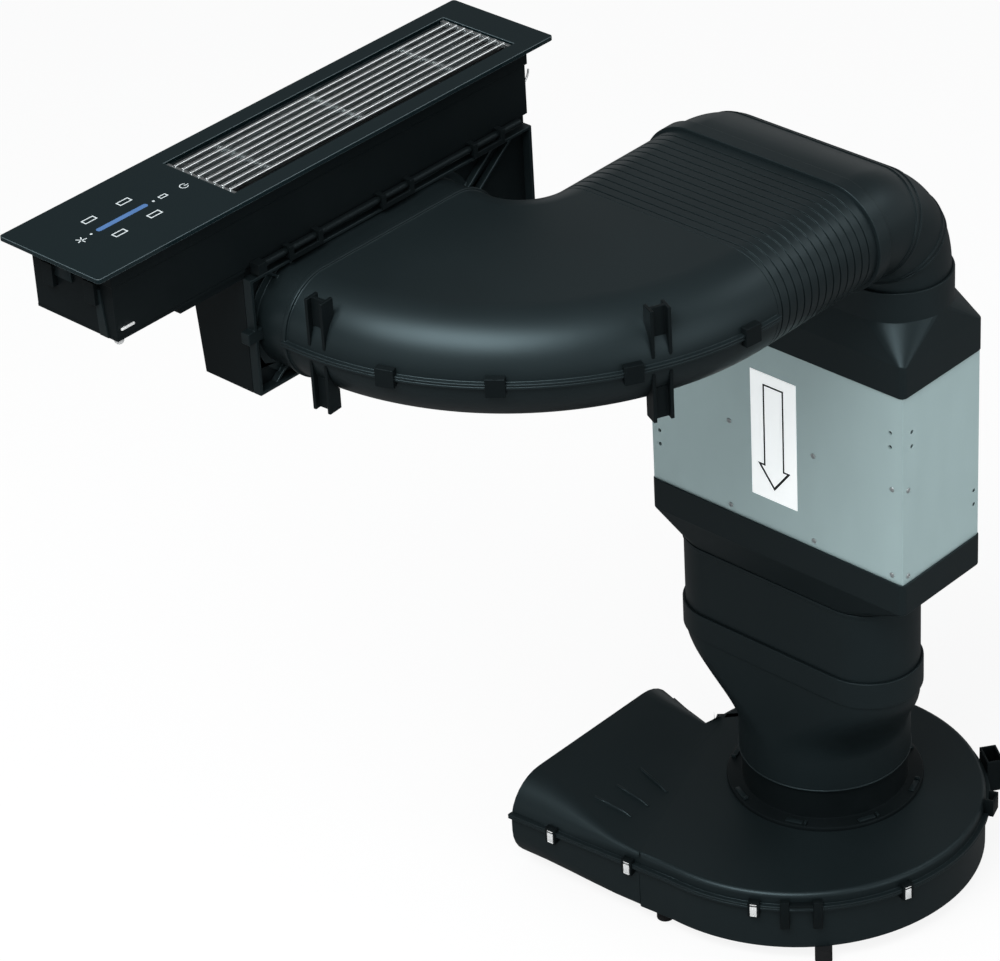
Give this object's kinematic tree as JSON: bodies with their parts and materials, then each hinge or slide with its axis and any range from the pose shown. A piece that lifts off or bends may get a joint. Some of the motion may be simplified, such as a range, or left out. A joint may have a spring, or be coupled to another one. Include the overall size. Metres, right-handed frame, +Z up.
{
  "type": "downdraft vent",
  "caption": "Worktop downdraft extractor: glass inlet panel with lift-out grille and filter, flat duct chain, in-line box and scroll fan.",
  "frame": {"origin": "middle of the glass panel, at the level of the worktop that the panel's seal rests on", "axes": "+Z up, +Y along the panel from the controls to the grille, +X from the panel to the port and the ducts"},
  "size_m": [0.4275, 0.8251, 0.8668],
  "materials": {
    "panel_glass": "polished black glass",
    "satin_black_plastic": "satin moulded, fine grain",
    "dark_plastic": "satin moulded",
    "brushed_steel": "brushed along the blades",
    "galvanised_sheet": "galvanised, even grey",
    "bright_steel": "bright zinc plated",
    "black_rubber": "matte",
    "circuit_board": "green lacquer",
    "mineral_wool": "felted fibre",
    "label_film": "white film",
    "motor_windings": "lacquered copper and laminations"
  },
  "bodies": {
    "root": {"glass_panel": "panel_glass", "seal_frame": "black_rubber", "inlet_housing": "satin_black_plastic", "touch_board": "circuit_board", "electronics_cover": "dark_plastic", "power_board": "circuit_board", "port_flange": "satin_black_plastic", "flange_rail": "dark_plastic", "snap_latches": "dark_plastic", "worktop_clamps": "dark_plastic", "clamp_screws": "bright_steel", "end_spring_wire": "bright_steel", "bend_upper_shell": "satin_black_plastic", "bend_lower_shell": "satin_black_plastic", "seam_clips": "dark_plastic", "bend_brackets": "dark_plastic", "ribbed_duct": "satin_black_plastic", "elbow": "satin_black_plastic", "upper_adapter": "satin_black_plastic", "box_case": "galvanised_sheet", "box_end_panels": "galvanised_sheet", "box_rivets": "bright_steel", "liner_sheets": "galvanised_sheet", "absorber_pads": "mineral_wool", "flow_label": "label_film", "lower_adapter": "satin_black_plastic", "flat_connector": "satin_black_plastic", "flat_to_round": "satin_black_plastic", "joint_seals": "black_rubber", "inlet_ring": "satin_black_plastic", "inlet_nozzle": "dark_plastic", "fan_upper_shell": "satin_black_plastic", "fan_lower_shell": "satin_black_plastic", "housing_clips": "bright_steel", "motor_stator": "motor_windings", "bearings": "bright_steel", "motor_plate": "galvanised_sheet", "motor_screws": "bright_steel", "rubber_feet": "black_rubber", "terminal_box": "dark_plastic"},
    "grille": {"inlet_grille": "brushed_steel"},
    "filter": {"grease_filter": "brushed_steel", "filter_mesh": "brushed_steel"},
    "tray": {"filter_tray": "dark_plastic"},
    "wheel": {"impeller": "dark_plastic", "impeller_hub": "dark_plastic", "motor_rotor": "bright_steel", "motor_shaft": "bright_steel"}
  },
  "joints": [
    {"name": "tray_lift", "type": "slide", "parent": "root", "child": "tray", "axis": [0, 0, 1], "range_m": [0, 0.185]},
    {"name": "filter_lift", "type": "slide", "parent": "tray", "child": "filter", "axis": [0, 0, 1], "range_m": [0, 0.06]},
    {"name": "grille_lift", "type": "slide", "parent": "filter", "child": "grille", "axis": [0, 0, 1], "range_m": [0, 0.04]},
    {"name": "wheel_spin", "type": "hinge", "parent": "root", "child": "wheel", "pos_m": [0.2035, 0.4231, -0.81], "axis": [0, 0, 1], "continuous": true}
  ]
}
